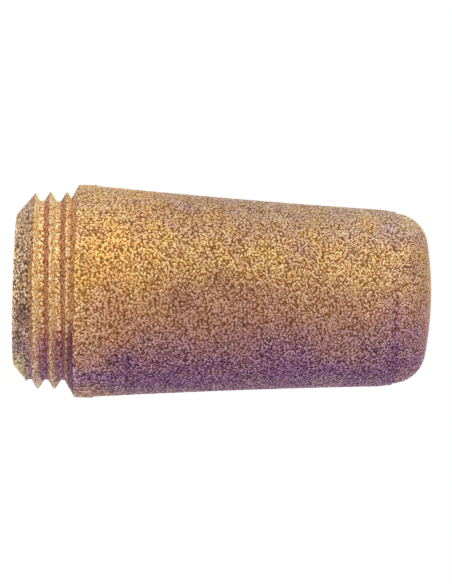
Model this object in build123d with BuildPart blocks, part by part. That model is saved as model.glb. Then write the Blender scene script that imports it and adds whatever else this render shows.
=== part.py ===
from build123d import *
from math import asin, ceil, degrees, radians, sqrt, tan
import os

# Porous sensor guard, moulded in one piece from bronze powder and sintered.
# It stands on the flat ring of its open, threaded end: the origin is the centre of that ring,
# and +Z runs along the axis to the closed nose. Sizes are in millimetres.

OVERALL_LENGTH = 25.35

# Body: a short straight land above the thread, then a slightly hollow taper towards the nose,
# which leans in a little more over its last stretch before the mould's parting line
SHOULDER_HEIGHT = 3.75
SHOULDER_ANGLE = 28.0
LAND_DIAMETER = 13.0
LAND_LENGTH = 1.12
LAND_EDGE_ROUND = 0.1
SIDE_STEP = 0.05
SIDE_HOLLOW = 0.08
SIDE_END_DIAMETER = 10.8
SIDE_TO_PARTING_LENGTH = 0.85
PARTING_DIAMETER = 10.56

# Nose: the cap shaped by the mould's end piece, a hair smaller than the side at the parting line
NOSE_LENGTH = 2.3
NOSE_DIAMETER = 10.4
NOSE_DRAFT_ANGLE = 6.0
NOSE_CORNER_RADIUS = 2.1
NOSE_SIDE_LEFT = 0.1
CROWN_RADIUS = 20.5

# Thread on the open end: metric fine, right hand
THREAD_DIAMETER = 12.0
THREAD_PITCH = 1.0
THREAD_ANGLE = 60.0
CREST_HEIGHT_AT_START = 0.53

# Mouth: the ring that the guard stands on, with the lead-in of the thread outside it
MOUTH_FACE_DIAMETER = 9.2
LEAD_IN_ANGLE = 40.0

# Cavity for the sensor: straight behind the mouth, then drafted to a rounded blind end
BORE_DIAMETER = 7.5
BORE_LENGTH = 5.0
CAVITY_END_DIAMETER = 6.8
CAVITY_END_ROUND = 2.0
NOSE_WALL = 2.4
BORE_EDGE_CHAMFER = 0.15

# The basic profile of a 60 degree thread: crest flat, root flat and depth as shares of the pitch
CREST_FLAT = THREAD_PITCH / 8
ROOT_FLAT = THREAD_PITCH / 4
flank_slope = tan(radians(THREAD_ANGLE / 2))
thread_depth = (THREAD_PITCH - CREST_FLAT - ROOT_FLAT) / 2 / flank_slope
thread_radius = THREAD_DIAMETER / 2
root_radius = thread_radius - thread_depth

# The groove is cut past the crest and past both ends of the threaded length, out of a bar that
# runs on past the groove at both ends
GROOVE_OVERCUT = 0.1
BAR_OVERRUN = 2.0
groove_radius = thread_radius + GROOVE_OVERCUT
groove_start = CREST_HEIGHT_AT_START - THREAD_PITCH / 2 - THREAD_PITCH
groove_turns = ceil((SHOULDER_HEIGHT - groove_start) / THREAD_PITCH) + 1
groove_mouth = ROOT_FLAT + 2 * (groove_radius - root_radius) * flank_slope

mouth_radius = MOUTH_FACE_DIAMETER / 2
land_radius = LAND_DIAMETER / 2
lead_in_height = (land_radius - mouth_radius) * tan(radians(LEAD_IN_ANGLE))

with BuildPart() as thread_groove:
    with BuildLine() as groove_path:
        Helix(
            pitch=THREAD_PITCH,
            height=groove_turns * THREAD_PITCH,
            radius=thread_radius,
            center=(0, 0, groove_start),
        )
    with BuildSketch(Plane((0, 0, groove_start), x_dir=(1, 0, 0), z_dir=(0, 1, 0))):
        with BuildLine():
            Polyline(
                (root_radius, -ROOT_FLAT / 2),
                (groove_radius, -groove_mouth / 2),
                (groove_radius, groove_mouth / 2),
                (root_radius, ROOT_FLAT / 2),
                close=True,
            )
        make_face()
    sweep(path=groove_path.wire(), is_frenet=True)

with BuildPart() as threaded_end:
    with BuildSketch(Plane.XY.offset(groove_start - BAR_OVERRUN)):
        Circle(thread_radius)
    extrude(amount=groove_turns * THREAD_PITCH + 2 * BAR_OVERRUN)
    add(thread_groove.part, mode=Mode.SUBTRACT)
    with BuildSketch(Plane.XZ):
        with BuildLine():
            Polyline(
                (0, 0),
                (mouth_radius, 0),
                (land_radius, lead_in_height),
                (land_radius, SHOULDER_HEIGHT),
                (0, SHOULDER_HEIGHT),
                close=True,
            )
        make_face()
    revolve(axis=Axis.Z, mode=Mode.INTERSECT)

land_end = SHOULDER_HEIGHT + LAND_LENGTH
parting_height = OVERALL_LENGTH - NOSE_LENGTH

# The shoulder's cone runs on below the thread's root, into the core, so that the two cross cleanly
cone_radius = root_radius - thread_depth
cone_base = SHOULDER_HEIGHT - (land_radius - cone_radius) * tan(radians(SHOULDER_ANGLE))

side_start = (land_radius - SIDE_STEP, land_end)
side_end = (SIDE_END_DIAMETER / 2, parting_height - SIDE_TO_PARTING_LENGTH)
side_middle = (
    (side_start[0] + side_end[0]) / 2 - SIDE_HOLLOW,
    (side_start[1] + side_end[1]) / 2,
)


def crown_height(radius):
    """Height of the crown's surface at this distance from the axis."""
    return OVERALL_LENGTH - CROWN_RADIUS + sqrt(CROWN_RADIUS**2 - radius**2)


nose_radius = NOSE_DIAMETER / 2
nose_edge_radius = nose_radius - NOSE_LENGTH * tan(radians(NOSE_DRAFT_ANGLE))
nose_edge = (nose_edge_radius, crown_height(nose_edge_radius))

# The nose's corner keeps a strip of the nose's drafted side below its round
nose_turn = 90 - NOSE_DRAFT_ANGLE - degrees(asin(nose_edge_radius / CROWN_RADIUS))
nose_side_length = nose_edge[1] - parting_height
nose_corner_limit = (nose_side_length - NOSE_SIDE_LEFT) / tan(radians(nose_turn / 2))
nose_corner_radius = min(NOSE_CORNER_RADIUS, nose_corner_limit)

bore_radius = BORE_DIAMETER / 2
cavity_end_radius = CAVITY_END_DIAMETER / 2
cavity_end = OVERALL_LENGTH - NOSE_WALL

with BuildPart() as sensor_guard:
    with BuildSketch(Plane.XZ) as body_profile:
        with BuildLine():
            Polyline(
                (0, cone_base),
                (cone_radius, cone_base),
                (land_radius, SHOULDER_HEIGHT),
                (land_radius, land_end),
                side_start,
            )
            ThreePointArc(side_start, side_middle, side_end)
            Polyline(
                side_end,
                (PARTING_DIAMETER / 2, parting_height),
                (nose_radius, parting_height),
                nose_edge,
            )
            RadiusArc(nose_edge, (0, OVERALL_LENGTH), -CROWN_RADIUS)
            Line((0, OVERALL_LENGTH), (0, cone_base))
        make_face()
        nose_corner = body_profile.vertices().sort_by_distance(nose_edge)[0]
        fillet(nose_corner, radius=nose_corner_radius)
        land_edge = body_profile.vertices().sort_by_distance((land_radius, SHOULDER_HEIGHT))[0]
        fillet(land_edge, radius=LAND_EDGE_ROUND)
    revolve(axis=Axis.Z)
    add(threaded_end.part)

    with BuildSketch(Plane.XZ) as cavity_profile:
        with BuildLine():
            Polyline(
                (0, 0),
                (bore_radius + BORE_EDGE_CHAMFER, 0),
                (bore_radius, BORE_EDGE_CHAMFER),
                (bore_radius, BORE_LENGTH),
                (cavity_end_radius, cavity_end),
                (0, cavity_end),
                close=True,
            )
        make_face()
        blind_corner = cavity_profile.vertices().sort_by_distance((cavity_end_radius, cavity_end))[0]
        fillet(blind_corner, radius=CAVITY_END_ROUND)
    revolve(axis=Axis.Z, mode=Mode.SUBTRACT)

sensor_guard.part.label = "sensor_guard"

os.makedirs("parts", exist_ok=True)
export_step(sensor_guard.part, "parts/sensor_guard.step")
print("solids", len(sensor_guard.part.solids()), "volume mm3", round(sensor_guard.part.volume, 2))
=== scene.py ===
"""Sintered bronze sensor guard: the looks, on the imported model.

The guard is one piece of moulded bronze powder. Its skin is shown as four pieces with shared
edges, each one a fine grid of rings round the axis. The powder's grains are pressed into it as
real relief: their tops lie flush with the moulded surface, and the pores between them sink below
it. The same grain pattern drives the colour, the roughness and the bump.

Units: the guard's sizes, its profiles and the "surface" attribute are in millimetres, the meshes
and the studio in metres, and angles in degrees. The open mouth stands on the floor, at height 0,
and the axis is +Z.
"""

import math

import bpy
import numpy as np
from mathutils import Matrix, Vector


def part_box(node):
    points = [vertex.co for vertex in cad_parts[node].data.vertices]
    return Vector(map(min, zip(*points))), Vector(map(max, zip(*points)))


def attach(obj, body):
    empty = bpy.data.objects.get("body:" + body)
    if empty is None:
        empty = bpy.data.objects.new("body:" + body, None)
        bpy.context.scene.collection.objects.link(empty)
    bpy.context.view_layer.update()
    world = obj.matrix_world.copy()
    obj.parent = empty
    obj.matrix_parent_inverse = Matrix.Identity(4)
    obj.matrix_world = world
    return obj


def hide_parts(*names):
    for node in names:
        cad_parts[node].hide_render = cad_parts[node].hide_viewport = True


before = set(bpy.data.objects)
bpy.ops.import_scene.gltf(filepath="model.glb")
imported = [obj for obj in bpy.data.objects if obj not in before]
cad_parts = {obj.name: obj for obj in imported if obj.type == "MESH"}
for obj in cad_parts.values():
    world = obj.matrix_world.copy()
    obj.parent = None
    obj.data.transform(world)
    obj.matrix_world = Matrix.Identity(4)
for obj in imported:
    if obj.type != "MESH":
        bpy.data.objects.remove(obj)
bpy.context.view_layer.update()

MM = 0.001
NODE = "sensor_guard"
BODY = "root"

# Sizes that the frame gives
low_corner, high_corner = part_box(NODE)
OVERALL_LENGTH = round((high_corner[2] - low_corner[2]) / MM, 2)
LAND_RADIUS = min(-low_corner[0], -low_corner[1], high_corner[0], high_corner[1]) / MM

# The shoulder, the land and the tapered side
SHOULDER_HEIGHT = 3.75
SHOULDER_ANGLE = 28.0
LAND_LENGTH = 1.12
LAND_EDGE_ROUND = 0.1
SIDE_STEP = 0.05
SIDE_HOLLOW = 0.08
SIDE_END_RADIUS = 5.4
SIDE_TO_PARTING_LENGTH = 0.85
PARTING_RADIUS = 5.28

# The nose
NOSE_LENGTH = 2.3
NOSE_RADIUS = 5.2
NOSE_DRAFT_ANGLE = 6.0
NOSE_CORNER_RADIUS = 2.1
CROWN_RADIUS = 20.5

# The thread and its lead-in
THREAD_RADIUS = 6.0
THREAD_PITCH = 1.0
THREAD_ANGLE = 60.0
CREST_HEIGHT_AT_START = 0.53
CREST_FLAT = THREAD_PITCH / 8
ROOT_FLAT = THREAD_PITCH / 4
MOUTH_FACE_RADIUS = 4.6
LEAD_IN_ANGLE = 40.0

# The cavity
BORE_RADIUS = 3.75
BORE_LENGTH = 5.0
BORE_EDGE_CHAMFER = 0.15
CAVITY_END_RADIUS = 3.4
CAVITY_END_ROUND = 2.0
NOSE_WALL = 2.4

# What follows from them
LAND_END = SHOULDER_HEIGHT + LAND_LENGTH
PARTING_HEIGHT = OVERALL_LENGTH - NOSE_LENGTH
SIDE_END_HEIGHT = PARTING_HEIGHT - SIDE_TO_PARTING_LENGTH
CAVITY_END_HEIGHT = OVERALL_LENGTH - NOSE_WALL
BORE_EDGE_RADIUS = BORE_RADIUS + BORE_EDGE_CHAMFER

# How fine the meshes are: points in a ring, and the steps between rings
RING_POINTS = 448
CAVITY_RING_POINTS = 224
FEWEST_RING_POINTS = 14
TIGHTEST_SPACING = 0.62
SIDE_STEP_LENGTH = 0.084
END_STEP_LENGTH = 0.07
THREAD_STEP_LENGTH = 0.035
NOSE_STEP_LENGTH = 0.07
CAVITY_STEP_LENGTH = 0.11
# Over this many rings the relief fades out towards a piece's open end
FADE_RINGS = 2

# The powder: round grains on the face, and smaller ones a little deeper between them
GRAIN_SIZE = 0.16
LOWER_GRAIN_SIZE = 0.132
LOWER_GRAIN_SHIFT = (7.3, 1.9, 4.7)
LOWER_GRAIN_DROP = 0.4
GRAIN_DISORDER = 0.8
GRAIN_TOP = 0.2
GRAIN_GAP = 0.85
GRAIN_WARP = 0.06
GRAIN_WARP_SIZE = 0.3
# Per millimetre of height, the grains get finer by this share, and by half of it along the axis
GRAIN_SHRINK = 0.01
GRAIN_SHRINK_ALONG = 0.5
# The cells' own grid stands on its corner, so that none of its planes lies along the side
BED_AXIS = (-1.0, 1.0, 0.0)
BED_TURN = math.acos(1 / math.sqrt(3))
RELIEF_DEPTH = 0.07
THREAD_RELIEF_SHARE = 0.5
# Below this height is the lead-in, whose slope isn't a flank of the thread
FLANKS_FROM_HEIGHT = 1.1


# Profiles: points (radius, height)
def between(start, end, share):
    """The point at a share of the way from one point to another."""
    return (start[0] + (end[0] - start[0]) * share, start[1] + (end[1] - start[1]) * share)


def spread(points, step):
    """The same line with points at about equal steps along it, its corners kept."""
    out = [points[0]]
    for start, end in zip(points, points[1:]):
        count = max(1, round(math.dist(start, end) / step))
        out += [between(start, end, i / count) for i in range(1, count + 1)]
    return out


def arc(centre, radius, start_angle, end_angle, step):
    """Points on a circle from one angle to another, both ends included."""
    turn = end_angle - start_angle
    count = max(2, round(abs(math.radians(turn)) * radius / step))
    out = []
    for i in range(count + 1):
        angle = math.radians(start_angle + turn * i / count)
        out.append((centre[0] + radius * math.cos(angle), centre[1] + radius * math.sin(angle)))
    return out


def side_profile():
    """The slightly hollow taper from the land to the nose, then the last lean-in."""
    start_radius = LAND_RADIUS - SIDE_STEP
    rise = SIDE_END_HEIGHT - LAND_END
    count = round(rise / SIDE_STEP_LENGTH)
    points = []
    for i in range(count + 1):
        share = i / count
        straight = start_radius + (SIDE_END_RADIUS - start_radius) * share
        # A parabola that is 0 at both ends and SIDE_HOLLOW in the middle
        hollow = SIDE_HOLLOW * 4 * share * (1 - share)
        points.append((straight - hollow, LAND_END + rise * share))
    last = [(SIDE_END_RADIUS, SIDE_END_HEIGHT), (PARTING_RADIUS, PARTING_HEIGHT)]
    return points + spread(last, SIDE_STEP_LENGTH)[1:]


def nose_profile():
    """From the parting line over the step, the drafted side and the round corner to the apex."""
    draft = math.radians(NOSE_DRAFT_ANGLE)
    up = (-math.sin(draft), math.cos(draft))
    inward = (-math.cos(draft), -math.sin(draft))
    crown_centre = (0.0, OVERALL_LENGTH - CROWN_RADIUS)
    # The corner's centre is one corner radius inside both the drafted side and the crown
    start = (
        NOSE_RADIUS + NOSE_CORNER_RADIUS * inward[0],
        PARTING_HEIGHT + NOSE_CORNER_RADIUS * inward[1],
    )
    reach = CROWN_RADIUS - NOSE_CORNER_RADIUS
    from_crown = (start[0] - crown_centre[0], start[1] - crown_centre[1])
    half_b = from_crown[0] * up[0] + from_crown[1] * up[1]
    c = from_crown[0] ** 2 + from_crown[1] ** 2 - reach**2
    along = -half_b + math.sqrt(half_b**2 - c)
    centre = (start[0] + along * up[0], start[1] + along * up[1])
    side_top = (NOSE_RADIUS + along * up[0], PARTING_HEIGHT + along * up[1])
    crown_angle = math.degrees(math.atan2(centre[1] - crown_centre[1], centre[0]))
    parting = [(PARTING_RADIUS, PARTING_HEIGHT), (NOSE_RADIUS, PARTING_HEIGHT), side_top]
    corner = arc(centre, NOSE_CORNER_RADIUS, NOSE_DRAFT_ANGLE, crown_angle, NOSE_STEP_LENGTH)
    crown = arc(crown_centre, CROWN_RADIUS, crown_angle, 90.0, NOSE_STEP_LENGTH)
    return spread(parting, NOSE_STEP_LENGTH) + corner[1:] + crown[1:]


def cavity_profile():
    """From the edge of the mouth up the bore and the drafted wall to the blind end."""
    centre = (CAVITY_END_RADIUS - CAVITY_END_ROUND, CAVITY_END_HEIGHT - CAVITY_END_ROUND)
    wall = [
        (BORE_EDGE_RADIUS, 0.0),
        (BORE_RADIUS, BORE_EDGE_CHAMFER),
        (BORE_RADIUS, BORE_LENGTH),
        (CAVITY_END_RADIUS, centre[1]),
    ]
    corner = arc(centre, CAVITY_END_ROUND, 0.0, 90.0, CAVITY_STEP_LENGTH)
    end = [corner[-1], (0.0, CAVITY_END_HEIGHT)]
    points = spread(wall, CAVITY_STEP_LENGTH) + corner[1:]
    return points + spread(end, CAVITY_STEP_LENGTH)[1:]


# Rings: arrays of points round the axis
def angles(count):
    """Equal turns round the axis, in radians, from +X."""
    return np.arange(count) * 2 * math.pi / count


def ring(radius, height, count=RING_POINTS):
    """A ring of points; the radius may differ from point to point."""
    turn = angles(count)
    radius = np.broadcast_to(radius, turn.shape)
    height = np.broadcast_to(height, turn.shape)
    return np.stack([radius * np.cos(turn), radius * np.sin(turn), height], axis=1)


def thread_radius_at(height, turn):
    """Radius of the endless helical ridge at this height, round the axis."""
    crest_height = CREST_HEIGHT_AT_START + THREAD_PITCH * turn / (2 * math.pi)
    pitches = (height - crest_height) / THREAD_PITCH
    from_crest = np.abs((pitches + 0.5) % 1.0 - 0.5) * THREAD_PITCH
    flank_slope = math.tan(math.radians(THREAD_ANGLE / 2))
    depth = (THREAD_PITCH - CREST_FLAT - ROOT_FLAT) / 2 / flank_slope
    drop = np.clip((from_crest - CREST_FLAT / 2) / flank_slope, 0.0, depth)
    return THREAD_RADIUS - drop


def threaded_rings():
    """The mouth's ring, the lead-in, the thread, the shoulder's cone and the land."""
    turn = angles(RING_POINTS)
    mouth = [(BORE_EDGE_RADIUS, 0.0), (MOUTH_FACE_RADIUS, 0.0)]
    rings = [ring(*point) for point in spread(mouth, END_STEP_LENGTH)[:-1]]
    # The round between the shoulder's cone and the land starts a setback before their corner
    shoulder = math.radians(SHOULDER_ANGLE)
    setback = LAND_EDGE_ROUND * math.tan((math.pi / 2 - shoulder) / 2)
    round_centre = (LAND_RADIUS - LAND_EDGE_ROUND, SHOULDER_HEIGHT + setback)
    round_start = SHOULDER_HEIGHT - setback * math.sin(shoulder)
    rows = round(round_start / THREAD_STEP_LENGTH)
    for height in np.linspace(0.0, round_start, rows + 1)[:-1]:
        lead_in = MOUTH_FACE_RADIUS + height / math.tan(math.radians(LEAD_IN_ANGLE))
        cone = LAND_RADIUS - (SHOULDER_HEIGHT - height) / math.tan(shoulder)
        radius = np.minimum(lead_in, thread_radius_at(height, turn))
        rings.append(ring(np.maximum(cone, radius), height))
    edge = arc(round_centre, LAND_EDGE_ROUND, SHOULDER_ANGLE - 90.0, 0.0, THREAD_STEP_LENGTH)
    land = [(LAND_RADIUS, round_centre[1]), (LAND_RADIUS, LAND_END)]
    side_start = (LAND_RADIUS - SIDE_STEP, LAND_END)
    rings += [ring(*point) for point in edge + spread(land, END_STEP_LENGTH)[1:] + [side_start]]
    return rings


def revolved_rings(profile, count, step=0.0):
    """Rings along a profile that ends at an apex, its last rings with fewer and fewer points.

    Where a ring's points would crowd closer than the step between rings, their number is halved.
    Without a step every ring keeps its number.
    """
    rings = []
    for row, (radius, height) in enumerate(profile):
        if radius < step / 2:
            rings.append(np.array([[0.0, 0.0, height]]))
            break
        crowded = 2 * math.pi * radius / count < step * TIGHTEST_SPACING
        if row > 0 and count > FEWEST_RING_POINTS and crowded:
            count //= 2
        rings.append(ring(radius, height, count))
    return rings


# Meshes
def bridge(lower, lower_count, upper, upper_count):
    """Faces between two rings, whose first points' numbers and numbers of points are given.

    The upper ring has as many points as the lower one, half as many, or only one: the apex.
    """
    faces = []
    if upper_count == 1:
        for i in range(lower_count):
            faces.append((lower + i, lower + (i + 1) % lower_count, upper))
    elif lower_count == upper_count:
        for i in range(lower_count):
            after = (i + 1) % lower_count
            faces.append((lower + i, lower + after, upper + after, upper + i))
    else:
        for i in range(upper_count):
            after = (i + 1) % upper_count
            left = lower + 2 * i
            middle = left + 1
            right = lower + (2 * i + 2) % lower_count
            faces.append((left, middle, upper + i))
            faces.append((middle, upper + after, upper + i))
            faces.append((middle, right, upper + after))
    return faces


def flank_turns(rings):
    """How far each point of equal rings faces the mouth (up to 1) or the nose (down to -1)."""
    radii = np.array([np.hypot(points[:, 0], points[:, 1]) for points in rings])
    heights = np.array([points[:, 2] for points in rings])
    rise = np.gradient(heights, axis=0)
    growth = np.gradient(radii, axis=0)
    turned = np.where(heights > FLANKS_FROM_HEIGHT, growth, 0.0)
    least_length = 1e-6
    return (turned / np.maximum(np.hypot(rise, growth), least_length)).ravel()


def set_attribute(mesh, name, values, kind="FLOAT", field="value"):
    """Stores a value for each of the mesh's points."""
    attribute = mesh.attributes.new(name, kind, "POINT")
    attribute.data.foreach_set(field, values.astype(np.float32).ravel())


def ring_mesh(name, rings, open_end=False, inward=False, depth_share=1.0, flank=None):
    """A mesh of rings, with the grains' relief held back at its open ends.

    The first ring is always an open end. The faces look away from the axis, or with inward to it.
    """
    starts = np.cumsum([0] + [len(points) for points in rings]).tolist()
    faces = []
    for row in range(len(rings) - 1):
        faces += bridge(starts[row], len(rings[row]), starts[row + 1], len(rings[row + 1]))
    if inward:
        faces = [corners[::-1] for corners in faces]
    points = np.concatenate(rings)
    mesh = bpy.data.meshes.new(name)
    mesh.from_pydata((points * MM).tolist(), [], faces)

    relief_share = np.ones(len(points))
    for row in range(FADE_RINGS):
        relief_share[starts[row] : starts[row + 1]] = row / FADE_RINGS
        if open_end:
            last = len(rings) - 1 - row
            relief_share[starts[last] : starts[last + 1]] = row / FADE_RINGS
    if flank is None:
        flank = np.zeros(len(points))
    set_attribute(mesh, "surface", points, "FLOAT_VECTOR", "vector")
    set_attribute(mesh, "relief", relief_share * depth_share)
    set_attribute(mesh, "flank", flank)
    mesh.shade_smooth()
    mesh.update()
    return mesh


# Nodes shared by the relief, the material and the studio
NOISE_MIDDLE = 0.5


def new_node(tree, kind, **settings):
    node = tree.nodes.new(kind)
    for name, value in settings.items():
        setattr(node, name, value)
    return node


def plug(tree, value, socket):
    """Links an output to an input, or writes a plain value into it."""
    if isinstance(value, bpy.types.NodeSocket):
        tree.links.new(value, socket)
    else:
        socket.default_value = value


def calculate(tree, operation, a, b=0.0):
    node = new_node(tree, "ShaderNodeMath", operation=operation)
    plug(tree, a, node.inputs[0])
    plug(tree, b, node.inputs[1])
    return node.outputs[0]


def product(tree, first, *others):
    """The values multiplied, in their order."""
    for other in others:
        first = calculate(tree, "MULTIPLY", first, other)
    return first


def vector_math(tree, operation, a, b, output=0):
    """A vector operation on two vectors, or with SCALE on a vector and a factor."""
    node = new_node(tree, "ShaderNodeVectorMath", operation=operation)
    plug(tree, a, node.inputs[0])
    plug(tree, b, node.inputs["Scale" if operation == "SCALE" else 1])
    return node.outputs[output]


def split_vector(tree, vector):
    node = new_node(tree, "ShaderNodeSeparateXYZ")
    plug(tree, vector, node.inputs[0])
    return node.outputs


def ease(tree, value, low, high, out_low=0.0, out_high=1.0):
    """Runs smoothly from out_low to out_high as the value goes from low to high."""
    node = new_node(tree, "ShaderNodeMapRange", interpolation_type="SMOOTHSTEP")
    plug(tree, value, node.inputs["Value"])
    plug(tree, low, node.inputs["From Min"])
    plug(tree, high, node.inputs["From Max"])
    plug(tree, out_low, node.inputs["To Min"])
    plug(tree, out_high, node.inputs["To Max"])
    return node.outputs["Result"]


def noise(tree, vector, size, detail=2.0, roughness=0.5, colour=False):
    node = new_node(tree, "ShaderNodeTexNoise")
    plug(tree, vector, node.inputs["Vector"])
    plug(tree, 1 / size, node.inputs["Scale"])
    plug(tree, detail, node.inputs["Detail"])
    plug(tree, roughness, node.inputs["Roughness"])
    return node.outputs["Color" if colour else "Fac"]


def grain_layer(tree, vector, size):
    """(height of round grains, 1 at their tops and 0 in the gaps, each one's random colour)."""
    cells = new_node(tree, "ShaderNodeTexVoronoi", feature="F1")
    plug(tree, vector, cells.inputs["Vector"])
    plug(tree, 1 / size, cells.inputs["Scale"])
    plug(tree, GRAIN_DISORDER, cells.inputs["Randomness"])
    return ease(tree, cells.outputs["Distance"], GRAIN_GAP, GRAIN_TOP), cells.outputs["Color"]


def grain_pattern(tree, surface):
    """(height of the powder's surface from 0 to 1, random colour of the grains)."""
    growth = calculate(tree, "MULTIPLY", split_vector(tree, surface)[2], GRAIN_SHRINK)
    aside = calculate(tree, "ADD", growth, 1.0)
    along = calculate(tree, "ADD", product(tree, growth, GRAIN_SHRINK_ALONG), 1.0)
    stretch = new_node(tree, "ShaderNodeCombineXYZ")
    for socket, factor in zip(stretch.inputs, (aside, aside, along)):
        plug(tree, factor, socket)
    turn = new_node(tree, "ShaderNodeVectorRotate", rotation_type="AXIS_ANGLE")
    stretched = vector_math(tree, "MULTIPLY", surface, stretch.outputs[0])
    plug(tree, stretched, turn.inputs["Vector"])
    plug(tree, BED_AXIS, turn.inputs["Axis"])
    plug(tree, BED_TURN, turn.inputs["Angle"])
    bed = turn.outputs[0]
    wander = noise(tree, bed, GRAIN_WARP_SIZE, colour=True)
    centred = vector_math(tree, "ADD", wander, (-NOISE_MIDDLE,) * 3)
    warp = vector_math(tree, "SCALE", centred, GRAIN_WARP * 2)
    warped = vector_math(tree, "ADD", bed, warp)
    upper, random_colour = grain_layer(tree, warped, GRAIN_SIZE)
    shifted = vector_math(tree, "ADD", warped, LOWER_GRAIN_SHIFT)
    lower = grain_layer(tree, shifted, LOWER_GRAIN_SIZE)[0]
    lower = calculate(tree, "SUBTRACT", lower, LOWER_GRAIN_DROP)
    powder = calculate(tree, "MAXIMUM", upper, lower)
    return calculate(tree, "MAXIMUM", powder, 0.0), random_colour


# The relief: grain tops flush with the moulded surface, pores sunk below it
def named_attribute(tree, name, kind):
    """A mesh attribute's value, for the relief's nodes."""
    node = new_node(tree, "GeometryNodeInputNamedAttribute", data_type=kind)
    plug(tree, name, node.inputs["Name"])
    return node.outputs["Attribute"]


def relief_tree():
    tree = bpy.data.node_groups.new("powder_relief", "GeometryNodeTree")
    for direction in ("INPUT", "OUTPUT"):
        tree.interface.new_socket("Geometry", in_out=direction, socket_type="NodeSocketGeometry")
    given = new_node(tree, "NodeGroupInput")
    result = new_node(tree, "NodeGroupOutput")
    powder = grain_pattern(tree, named_attribute(tree, "surface", "FLOAT_VECTOR"))[0]
    gap = calculate(tree, "SUBTRACT", 1.0, powder)
    share = named_attribute(tree, "relief", "FLOAT")
    sink = product(tree, gap, RELIEF_DEPTH * MM, share, -1.0)
    normal = new_node(tree, "GeometryNodeInputNormal")
    move = new_node(tree, "GeometryNodeSetPosition")
    plug(tree, given.outputs[0], move.inputs["Geometry"])
    plug(tree, vector_math(tree, "SCALE", normal.outputs[0], sink), move.inputs["Offset"])
    plug(tree, move.outputs["Geometry"], result.inputs[0])
    return tree


def press_grains(mesh, tree):
    """The mesh with the relief pressed into it."""
    carrier = bpy.data.objects.new("carrier", mesh)
    bpy.context.scene.collection.objects.link(carrier)
    modifier = carrier.modifiers.new("relief", "NODES")
    modifier.node_group = tree
    bpy.context.view_layer.update()
    ready = carrier.evaluated_get(bpy.context.evaluated_depsgraph_get())
    pressed = bpy.data.meshes.new_from_object(ready)
    pressed.name = mesh.name
    bpy.data.objects.remove(carrier)
    bpy.data.meshes.remove(mesh)
    return pressed


# Colours
def srgb(red, green, blue):
    """A colour written as 0 to 255, as the linear values that nodes take."""
    out = []
    for value in (red, green, blue):
        share = value / 255
        out.append(share / 12.92 if share <= 0.04045 else ((share + 0.055) / 1.055) ** 2.4)
    return (*out, 1.0)


def shade(red, green, blue):
    """A factor for each channel, as a colour that nodes can multiply by."""
    return (red, green, blue, 1.0)


def tint(factor, **fades):
    """A factor and where it acts: each fade goes from where it is absent to where it is full.

    A fade's name says what is measured. Both above and below measure the height over the mouth.
    side is how far across the colours, 0 to 1, whose far end is painted shade, reach how far
    across the guard, -1 to 1, and width the same without its sign. depth is the distance below the
    thread's crests, and parting the distance from the parting line. A third and fourth number are
    the strengths at the fade's two ends, where they aren't 0 and 1. Several fades act together.
    """
    return factor, fades


# Colours across the guard, side 0 to side 1; darker and violet towards 1, away from the key:
# painted shade
ACROSS_COLOURS = (
    (0.00, srgb(186, 152, 119)),
    (0.18, srgb(188, 145, 99)),
    (0.32, srgb(197, 152, 94)),
    (0.48, srgb(186, 138, 97)),
    (0.64, srgb(178, 128, 105)),
    (0.78, srgb(159, 111, 115)),
    (0.87, srgb(132, 84, 119)),
    (0.95, srgb(133, 87, 118)),
    (1.00, srgb(140, 97, 119)),
)
BODY_RADIUS_AT_MOUTH = 6.75
BODY_RADIUS_LOSS = 0.062
WAVER_SIZE = 3.2
WAVER_DETAIL = 3.0
WAVER = 0.75
MOTTLE_SIZE = 1.1
MOTTLE_WAVER = 0.5
# Towards both ends of the guard the colours shift: over these two heights, by 0 and by this much
THREAD_END_LAG = (6.8, 4.2, 0.0, 0.11)
NOSE_END_LAG = (14.0, 22.0, 0.0, 0.04)

# The two ends of the body against its middle; the thread end's lightness and the gold rims are
# painted light
RIM_PAINTED_LIGHT = shade(1.6, 1.85, 0.72)
# Painted light: the body lighter towards the thread, except on the shaded side
THREAD_END_PAINTED_LIGHT = tint(shade(1.25, 1.21, 0.94), below=(11.0, 5.0), side=(0.8, 0.68))
LAND_TINT = tint(shade(1.08, 1.16, 1.28), below=(6.5, 4.8), side=(0.35, 0.5))
NOSE_TINT = tint(shade(1.07, 1.1, 1.1), above=(14.0, 19.0))
NOSE_CAP_TINT = tint(shade(1.0, 1.0, 1.25), above=(21.5, 23.5), side=(0.85, 0.7))
# Painted light in gold: bounced from the floor on the land's low rim, grazing along the nose's two
# rims
LAND_RIM_PAINTED_LIGHT = tint(RIM_PAINTED_LIGHT, below=(6.4, 5.2), reach=(0.78, 0.97))
NOSE_RIM_PAINTED_LIGHT = tint(RIM_PAINTED_LIGHT, above=(22.2, 23.8, 0.0, 0.32), width=(0.65, 0.9))
BODY_TINTS = (
    THREAD_END_PAINTED_LIGHT,
    LAND_TINT,
    NOSE_TINT,
    NOSE_CAP_TINT,
    LAND_RIM_PAINTED_LIGHT,
    NOSE_RIM_PAINTED_LIGHT,
)

# Stains and pale patches: (place on the surface, size, factor). They fade out towards their
# size, and are full within this share of it: STAIN_CORE
STAINS = (
    ((0.5, -6.1, 10.3), 1.5, shade(0.85, 0.78, 0.9)),
    ((-0.9, -5.9, 12.4), 1.5, shade(0.8, 0.74, 0.88)),
    ((-2.3, -5.2, 17.5), 1.6, shade(0.84, 0.8, 0.9)),
    ((-1.8, -4.3, 24.1), 1.5, shade(0.85, 0.82, 0.93)),
    ((3.6, -5.3, 4.9), 1.3, shade(0.84, 0.87, 0.9)),
    ((0.8, -5.4, 21.3), 1.5, shade(1.16, 1.17, 1.2)),
    ((-4.6, -2.9, 21.1), 1.5, shade(1.16, 1.14, 0.96)),
)
LEAD_IN_STAINS = (((1.5, -5.0, 0.7), 0.9, shade(0.6, 0.5, 0.6)),)
STAIN_CORE = 0.2
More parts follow.
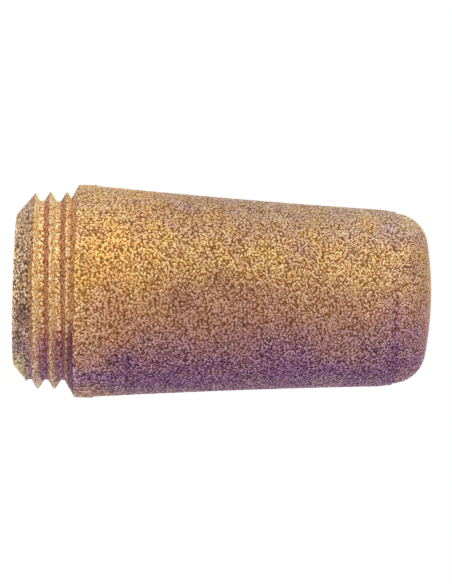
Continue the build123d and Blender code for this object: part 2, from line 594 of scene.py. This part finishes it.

# A dark joint where the nose's mould piece met the side's, deepened by painted shade on the shaded
# side;
# a lighter shoulder edge, partly wear and partly painted highlight; fine rosy and golden patches
# all over
PARTING_JOINT_AND_SHADE = tint(shade(0.78, 0.68, 0.94), parting=(0.4, 0.0), side=(0.35, 0.75, 0.3))
SHOULDER_EDGE_WEAR_AND_HIGHLIGHT = tint(shade(1.2, 1.22, 1.2), above=(3.68, 3.76), below=(4.15, 3.85))
MOTTLE_FADE = (0.35, 0.65)
MOTTLE_ROSE = shade(0.98, 0.94, 1.0)
MOTTLE_GOLD = shade(1.05, 1.06, 0.9)

# From here on, a constant of two or four numbers is a fade, read as those of a tint

# Thread: crests lighter all round (wear and painted highlight), valleys painted light on the lit
# side
THREADED = {"above": (1.0, 1.3), "below": (SHOULDER_HEIGHT, 3.6)}
CREST_DEPTH = (0.5, 0.12)
CREST_WEAR_AND_HIGHLIGHT = 0.55
VALLEY_PAINTED_LIGHT = (0.52, 0.82, 0.9, 0.25)
THREAD_FAR_SIDE = (0.45, 0.75)
# Towards the far side the crests and valleys take darker, pinker colours: painted shade
CREST_COLOUR = srgb(238, 190, 132)
CREST_COLOUR_FAR = srgb(230, 184, 146)
VALLEY_COLOUR = srgb(238, 192, 134)
VALLEY_COLOUR_FAR = srgb(222, 164, 158)

# Its flanks as if lit from the nose's side: painted shade facing the mouth, painted light facing
# the nose
MOUTH_FLANK_FAR_SIDE = (0.62, 0.8)
MOUTH_FLANK_PAINTED_SHADE = shade(0.66, 0.58, 0.72)
# On the far side the mouth-facing flanks get painted light instead
MOUTH_FLANK_PAINTED_LIGHT_FAR = shade(1.12, 1.18, 1.08)
MOUTH_FLANK_SHADE_ON_CONE = (3.15, 3.3, 1.0, 0.6)
NOSE_FLANK_PAINTED_LIGHT = shade(1.5, 1.74, 1.6)
NOSE_FLANK_LIGHT_SIDE = (0.98, 0.78)

# Darker along the thread's pale edge; on the far side painted shade makes its valleys and the cone
# deep violet
THREAD_TINTS = (
    tint(shade(0.8, 0.84, 0.82), **THREADED, reach=(-0.72, -0.92)),
    # Painted shade in the thread's valleys, on the shaded side
    tint(shade(0.66, 0.54, 0.8), **THREADED, depth=(0.32, 0.52), side=(0.52, 0.78)),
    # Painted shade on the shoulder's cone under the land, on the shaded side
    tint(shade(0.36, 0.24, 0.56), above=(3.3, 3.42), below=(3.78, 3.7), side=(0.48, 0.7)),
)

# The lead-in: darker on the far side, painted shade; a painted highlight at its foot and on the
# mouth's edge
LEAD_IN_COLOUR = srgb(208, 172, 131)
LEAD_IN_COLOUR_FAR = srgb(176, 144, 127)
LEAD_IN_FOOT_HIGHLIGHT = srgb(236, 205, 136)
LEAD_IN_FAR_SIDE = (0.4, 0.7)
LEAD_IN_FOOT_HIGHLIGHT_PLACE = {"reach": (0.5, 0.72), "below": (1.1, 0.6)}
ON_LEAD_IN = (1.15, 0.85, 0.0, 0.85)
MOUTH_EDGE_HIGHLIGHT = tint(shade(1.28, 1.34, 1.34), below=(0.45, 0.12))

# Where painted shade on the far side turns the grain tops and the pores violet
SHADED_SIDE_VIOLET = {"side": (0.7, 0.86), "above": (0.85, 1.15)}

# Grain tops and pores against the colour of their place, and where each kind is: the tops by the
# grain's own random number, the pores by the powder's height or by the height over the mouth
# The pores' darkness is partly painted shade in them, and the palest tops are partly painted
# glints
TOP = shade(1.38, 1.56, 1.98)
TOP_PALE = shade(1.6, 2.05, 3.2)
TOP_DULL = shade(1.3, 1.3, 1.35)
TOP_VIOLET = shade(1.45, 1.5, 1.6)
TOP_VIOLET_PALE = shade(2.5, 3.5, 2.7)
DULL_TO_PLAIN = (0.0, 0.5)
PLAIN_TO_PALE = (0.5, 1.0)
VIOLET_TO_PALE = (0.1, 0.9)
PORE = shade(0.64, 0.5, 0.32)
PORE_DARK = shade(0.46, 0.33, 0.21)
PORE_NOSE = shade(0.52, 0.4, 0.26)
PORE_VIOLET = shade(0.42, 0.26, 0.4)
PORE_LEAD_IN = shade(0.3, 0.27, 0.25)
PORE_TO_DARK = (0.4, 0.0)
NOSE_PORES = (10.0, 20.0, 0.0, 0.8)
LEAD_IN_PORES = (1.2, 0.8)
TOP_TO_PORE = (0.88, 0.3)

# The metal's surface: pores are rougher than grain tops
METALLIC = 0.55
TOP_ROUGHNESS = 0.48
PORE_ROUGHNESS = 0.78
FINE_BUMP_SIZE = 0.09
FINE_BUMP_DETAIL = 3.0
FINE_BUMP_ROUGHNESS = 0.6
FINE_BUMP_STRENGTH = 0.35
FINE_BUMP_HEIGHT = 0.03
GRAIN_BUMP_STRENGTH = 0.5
GRAIN_BUMP_HEIGHT = 0.04


# The material
def mix_colour(tree, factor, a, b, blend="MIX"):
    """Mixes two colours. Of the node's sockets, these are the ones for colours."""
    node = new_node(tree, "ShaderNodeMix", data_type="RGBA", blend_type=blend)
    plug(tree, factor, node.inputs[0])
    plug(tree, a, node.inputs[6])
    plug(tree, b, node.inputs[7])
    return node.outputs[2]


def multiplied(tree, colour, factor, weight=1.0):
    """The colour times a factor, as far as the weight says."""
    return mix_colour(tree, weight, colour, factor, "MULTIPLY")


def colour_ramp(tree, factor, stops):
    node = new_node(tree, "ShaderNodeValToRGB")
    ramp = node.color_ramp
    while len(ramp.elements) < len(stops):
        ramp.elements.new(0.5)
    for element, (position, colour) in zip(ramp.elements, stops):
        element.position = position
        element.color = colour
    ramp.interpolation = "CARDINAL"
    plug(tree, factor, node.inputs["Fac"])
    return node.outputs["Color"]


def swing(tree, pattern, amount):
    """A noise pattern as a swing to both sides of 0."""
    return product(tree, calculate(tree, "SUBTRACT", pattern, NOISE_MIDDLE), amount)


def measure(tree, surface):
    """What the colours depend on, under the names that the tints use."""
    across, forward, height = split_vector(tree, surface)
    lost = product(tree, height, BODY_RADIUS_LOSS)
    radius = calculate(tree, "SUBTRACT", BODY_RADIUS_AT_MOUTH, lost)
    reach = calculate(tree, "DIVIDE", across, radius)
    drift = noise(tree, surface, WAVER_SIZE, WAVER_DETAIL)
    mottle = noise(tree, surface, MOTTLE_SIZE)
    side = calculate(tree, "ADD", reach, swing(tree, drift, WAVER))
    side = calculate(tree, "ADD", side, swing(tree, mottle, MOTTLE_WAVER))
    # From -1 to 1 across the guard, to 0 to 1 across the colours
    side = product(tree, calculate(tree, "ADD", side, 1.0), 0.5)
    for lag in (THREAD_END_LAG, NOSE_END_LAG):
        side = calculate(tree, "SUBTRACT", side, ease(tree, height, *lag))
    squares = [product(tree, length, length) for length in (across, forward)]
    from_axis = calculate(tree, "SQRT", calculate(tree, "ADD", *squares))
    from_parting = calculate(tree, "SUBTRACT", height, PARTING_HEIGHT)
    return {
        "above": height,
        "below": height,
        "side": side,
        "reach": reach,
        "width": calculate(tree, "ABSOLUTE", reach),
        "depth": calculate(tree, "SUBTRACT", THREAD_RADIUS, from_axis),
        "parting": calculate(tree, "ABSOLUTE", from_parting),
        "mottle": mottle,
    }


def weigh(tree, measures, fades):
    """How strong a tint with these fades is at a place."""
    return product(tree, *(ease(tree, measures[name], *fade) for name, fade in fades.items()))


def add_tints(tree, colour, measures, tints):
    for factor, fades in tints:
        colour = multiplied(tree, colour, factor, weigh(tree, measures, fades))
    return colour


def add_stains(tree, colour, surface, stains):
    for place, size, factor in stains:
        away = vector_math(tree, "DISTANCE", surface, place, "Value")
        weight = ease(tree, away, size, STAIN_CORE * size)
        colour = multiplied(tree, colour, factor, weight)
    return colour


def add_thread(tree, colour, measures):
    """The crests lighter, partly wear and partly painted highlight, and the valleys with painted
    light.
    """
    crest = ease(tree, measures["depth"], *CREST_DEPTH)
    wear_and_light = ease(tree, measures["side"], *VALLEY_PAINTED_LIGHT)
    wear_and_light = calculate(tree, "MAXIMUM", wear_and_light, product(tree, crest, CREST_WEAR_AND_HIGHLIGHT))
    far = ease(tree, measures["side"], *THREAD_FAR_SIDE)
    valley_colour = mix_colour(tree, far, VALLEY_COLOUR, VALLEY_COLOUR_FAR)
    crest_colour = mix_colour(tree, far, CREST_COLOUR, CREST_COLOUR_FAR)
    worn_and_lit = product(tree, weigh(tree, measures, THREADED), wear_and_light)
    return mix_colour(tree, worn_and_lit, colour, mix_colour(tree, crest, valley_colour, crest_colour))


def add_lead_in(tree, colour, measures, surface):
    """The lead-in's colour, its stain, its painted shade far round and painted highlights at foot
    and mouth.
    """
    far = ease(tree, measures["side"], *LEAD_IN_FAR_SIDE)
    lead_in = mix_colour(tree, far, LEAD_IN_COLOUR, LEAD_IN_COLOUR_FAR)
    foot = weigh(tree, measures, LEAD_IN_FOOT_HIGHLIGHT_PLACE)
    lead_in = mix_colour(tree, foot, lead_in, LEAD_IN_FOOT_HIGHLIGHT)
    colour = mix_colour(tree, ease(tree, measures["below"], *ON_LEAD_IN), colour, lead_in)
    colour = add_stains(tree, colour, surface, LEAD_IN_STAINS)
    return add_tints(tree, colour, measures, (MOUTH_EDGE_HIGHLIGHT,))


def add_flanks(tree, colour, measures):
    """Painted shade on the flanks that face the mouth, painted light on those that face the nose.
    """
    flank = new_node(tree, "ShaderNodeAttribute", attribute_name="flank").outputs["Fac"]
    to_mouth = calculate(tree, "MAXIMUM", flank, 0.0)
    to_nose = calculate(tree, "MAXIMUM", product(tree, flank, -1.0), 0.0)
    dark = product(tree, to_mouth, ease(tree, measures["above"], *MOUTH_FLANK_SHADE_ON_CONE))
    mouth_flank_tone = mix_colour(tree, ease(tree, measures["side"], *MOUTH_FLANK_FAR_SIDE), MOUTH_FLANK_PAINTED_SHADE, MOUTH_FLANK_PAINTED_LIGHT_FAR)
    colour = multiplied(tree, colour, mouth_flank_tone, dark)
    pale = product(tree, to_nose, ease(tree, measures["side"], *NOSE_FLANK_LIGHT_SIDE))
    return multiplied(tree, colour, NOSE_FLANK_PAINTED_LIGHT, pale)


def place_colour(tree, surface, measures):
    """The bronze's colour at a place without its grains, painted light and shade included."""
    colour = colour_ramp(tree, measures["side"], ACROSS_COLOURS)
    colour = add_tints(tree, colour, measures, BODY_TINTS)
    colour = add_stains(tree, colour, surface, STAINS)
    colour = add_tints(tree, colour, measures, (PARTING_JOINT_AND_SHADE, SHOULDER_EDGE_WEAR_AND_HIGHLIGHT))
    patches = ease(tree, measures["mottle"], *MOTTLE_FADE)
    colour = multiplied(tree, colour, mix_colour(tree, patches, MOTTLE_ROSE, MOTTLE_GOLD))
    colour = add_thread(tree, colour, measures)
    colour = add_lead_in(tree, colour, measures, surface)
    colour = add_flanks(tree, colour, measures)
    return add_tints(tree, colour, measures, THREAD_TINTS)


def grain_shade(tree, powder, pick, measures):
    """The shade of grain tops and pores; pick is each grain's random number."""
    violet = weigh(tree, measures, SHADED_SIDE_VIOLET)
    top = mix_colour(tree, ease(tree, pick, *DULL_TO_PLAIN), TOP_DULL, TOP)
    top = mix_colour(tree, ease(tree, pick, *PLAIN_TO_PALE), top, TOP_PALE)
    violet_top = mix_colour(tree, ease(tree, pick, *VIOLET_TO_PALE), TOP_VIOLET, TOP_VIOLET_PALE)
    top = mix_colour(tree, violet, top, violet_top)
    pore = mix_colour(tree, ease(tree, powder, *PORE_TO_DARK), PORE, PORE_DARK)
    pore = mix_colour(tree, ease(tree, measures["above"], *NOSE_PORES), pore, PORE_NOSE)
    pore = mix_colour(tree, violet, pore, PORE_VIOLET)
    pore = mix_colour(tree, ease(tree, measures["below"], *LEAD_IN_PORES), pore, PORE_LEAD_IN)
    return mix_colour(tree, ease(tree, powder, *TOP_TO_PORE), top, pore)


def bump(tree, height, strength, distance):
    """A bump node, whose distance is in metres."""
    node = new_node(tree, "ShaderNodeBump")
    plug(tree, height, node.inputs["Height"])
    plug(tree, strength, node.inputs["Strength"])
    plug(tree, distance, node.inputs["Distance"])
    return node


def bronze_material():
    material = bpy.data.materials.new("sintered_bronze")
    material.use_nodes = True
    tree = material.node_tree
    tree.nodes.clear()
    output = new_node(tree, "ShaderNodeOutputMaterial")
    shader = new_node(tree, "ShaderNodeBsdfPrincipled")
    tree.links.new(shader.outputs[0], output.inputs["Surface"])
    shader.inputs["Metallic"].default_value = METALLIC

    surface = new_node(tree, "ShaderNodeAttribute", attribute_name="surface").outputs["Vector"]
    measures = measure(tree, surface)
    powder, grain_random = grain_pattern(tree, surface)
    channels = new_node(tree, "ShaderNodeSeparateColor")
    plug(tree, grain_random, channels.inputs[0])
    grain = grain_shade(tree, powder, channels.outputs[0], measures)
    colour = multiplied(tree, place_colour(tree, surface, measures), grain)
    plug(tree, colour, shader.inputs["Base Color"])
    rough = ease(tree, powder, 1.0, 0.0, TOP_ROUGHNESS, PORE_ROUGHNESS)
    plug(tree, rough, shader.inputs["Roughness"])

    fine = noise(tree, surface, FINE_BUMP_SIZE, FINE_BUMP_DETAIL, FINE_BUMP_ROUGHNESS)
    fine_bump = bump(tree, fine, FINE_BUMP_STRENGTH, FINE_BUMP_HEIGHT * MM)
    grain_bump = bump(tree, powder, GRAIN_BUMP_STRENGTH, GRAIN_BUMP_HEIGHT * MM)
    plug(tree, fine_bump.outputs[0], grain_bump.inputs["Normal"])
    plug(tree, grain_bump.outputs[0], shader.inputs["Normal"])
    return material


# The guard's pieces
def add_piece(mesh, material, relief):
    """Presses the grains into a mesh and makes it a piece of the guard."""
    piece = bpy.data.objects.new(mesh.name, press_grains(mesh, relief))
    piece.data.materials.clear()
    piece.data.materials.append(material)
    bpy.context.scene.collection.objects.link(piece)
    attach(piece, BODY)
    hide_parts(NODE)


def build_guard():
    """The four pieces of the guard's skin; neighbours share the rings at their borders."""
    bronze = bronze_material()
    relief = relief_tree()
    thread = threaded_rings()
    threaded_end = ring_mesh(
        "threaded_end",
        thread,
        open_end=True,
        depth_share=THREAD_RELIEF_SHARE,
        flank=flank_turns(thread),
    )
    add_piece(threaded_end, bronze, relief)
    side = revolved_rings(side_profile(), RING_POINTS)
    add_piece(ring_mesh("tapered_side", side, open_end=True), bronze, relief)
    nose = revolved_rings(nose_profile(), RING_POINTS, NOSE_STEP_LENGTH)
    add_piece(ring_mesh("closed_nose", nose), bronze, relief)
    # The cavity's first ring is as fine as the threaded end's, and lies on it
    cavity = [ring(BORE_EDGE_RADIUS, 0.0)]
    cavity += revolved_rings(cavity_profile()[1:], CAVITY_RING_POINTS, CAVITY_STEP_LENGTH)
    add_piece(ring_mesh("sensor_cavity", cavity, inward=True), bronze, relief)


build_guard()


# The studio: a pale floor, a white surround, one large soft light and a weak fill
FLOOR_HALF = 0.6
FLOOR_COLOUR = (0.86, 0.86, 0.86, 1.0)
# The floor's own glow, only for rays that see the background
FLOOR_LIFT = 0.74
WHITE = (1.0, 1.0, 1.0, 1.0)
AMBIENT = 0.38
KEY_WATTS = 0.78
KEY_SIZE = 0.3
KEY_PLACE = Vector((-0.38, -0.24, 0.17))
FILL_WATTS = 0.04
FILL_SIZE = 0.3
FILL_PLACE = Vector((0.12, -0.4, 0.1))

# The photograph's camera
IMAGE_LONG_SIDE_PIXELS = 584
FOCAL_LENGTH_PIXELS = 5396.0
SENSOR_WIDTH = 36.0
CAMERA_DISTANCE = 0.329
CAMERA_TARGET = Vector((-0.000149, 0.0, 0.01285))
CAMERA_ROLL_ANGLE = 1.35
CLIP_START = 0.01
CLIP_END = 10.0


def sees_background(tree):
    """1 for rays of the camera, of reflections and through glass, else 0."""
    path = new_node(tree, "ShaderNodeLightPath")
    camera_or_glossy = calculate(
        tree, "MAXIMUM", path.outputs["Is Camera Ray"], path.outputs["Is Glossy Ray"]
    )
    return calculate(tree, "MAXIMUM", camera_or_glossy, path.outputs["Is Transmission Ray"])


def make_floor():
    half = FLOOR_HALF
    mesh = bpy.data.meshes.new("floor")
    corners = [(-half, -half, 0), (half, -half, 0), (half, half, 0), (-half, half, 0)]
    mesh.from_pydata(corners, [], [(0, 1, 2, 3)])
    floor = bpy.data.objects.new("floor", mesh)
    bpy.context.scene.collection.objects.link(floor)
    material = bpy.data.materials.new("pale_floor")
    material.use_nodes = True
    tree = material.node_tree
    tree.nodes.clear()
    output = new_node(tree, "ShaderNodeOutputMaterial")
    matt = new_node(tree, "ShaderNodeBsdfDiffuse")
    matt.inputs["Color"].default_value = FLOOR_COLOUR
    lift = new_node(tree, "ShaderNodeEmission")
    glow = product(tree, sees_background(tree), FLOOR_LIFT)
    plug(tree, glow, lift.inputs["Strength"])
    both = new_node(tree, "ShaderNodeAddShader")
    tree.links.new(matt.outputs[0], both.inputs[0])
    tree.links.new(lift.outputs[0], both.inputs[1])
    tree.links.new(both.outputs[0], output.inputs["Surface"])
    mesh.materials.append(material)


def make_world():
    """White where it is seen, and dimmer where it only lights."""
    world = bpy.data.worlds.new("studio")
    bpy.context.scene.world = world
    world.use_nodes = True
    tree = world.node_tree
    tree.nodes.clear()
    output = new_node(tree, "ShaderNodeOutputWorld")
    background = new_node(tree, "ShaderNodeBackground")
    background.inputs["Color"].default_value = WHITE
    seen = product(tree, sees_background(tree), 1.0 - AMBIENT)
    plug(tree, calculate(tree, "ADD", seen, AMBIENT), background.inputs["Strength"])
    tree.links.new(background.outputs[0], output.inputs["Surface"])


def soft_light(name, place, size, watts):
    """A square light that faces the guard."""
    lamp = bpy.data.lights.new(name, "AREA")
    lamp.size = size
    lamp.energy = watts
    light = bpy.data.objects.new(name, lamp)
    light.location = place
    light.rotation_mode = "QUATERNION"
    light.rotation_quaternion = (CAMERA_TARGET - place).to_track_quat("-Z", "Y")
    bpy.context.scene.collection.objects.link(light)


def make_camera():
    """The photograph's view: the guard lies across the picture, its nose to the right."""
    roll = math.radians(CAMERA_ROLL_ANGLE)
    right = Vector((-math.sin(roll), 0.0, math.cos(roll)))
    up = Vector((-math.cos(roll), 0.0, -math.sin(roll)))
    back = right.cross(up)
    data = bpy.data.cameras.new("camera")
    data.sensor_fit = "AUTO"
    data.sensor_width = SENSOR_WIDTH
    data.lens = FOCAL_LENGTH_PIXELS / IMAGE_LONG_SIDE_PIXELS * SENSOR_WIDTH
    data.clip_start = CLIP_START
    data.clip_end = CLIP_END
    camera = bpy.data.objects.new("camera", data)
    axes = Matrix((right, up, back)).transposed().to_4x4()
    camera.matrix_world = Matrix.Translation(CAMERA_TARGET + back * CAMERA_DISTANCE) @ axes
    bpy.context.scene.collection.objects.link(camera)
    bpy.context.scene.camera = camera


make_floor()
make_world()
soft_light("key", KEY_PLACE, KEY_SIZE, KEY_WATTS)
soft_light("fill", FILL_PLACE, FILL_SIZE, FILL_WATTS)
make_camera()
bpy.context.scene.view_settings.view_transform = "Standard"
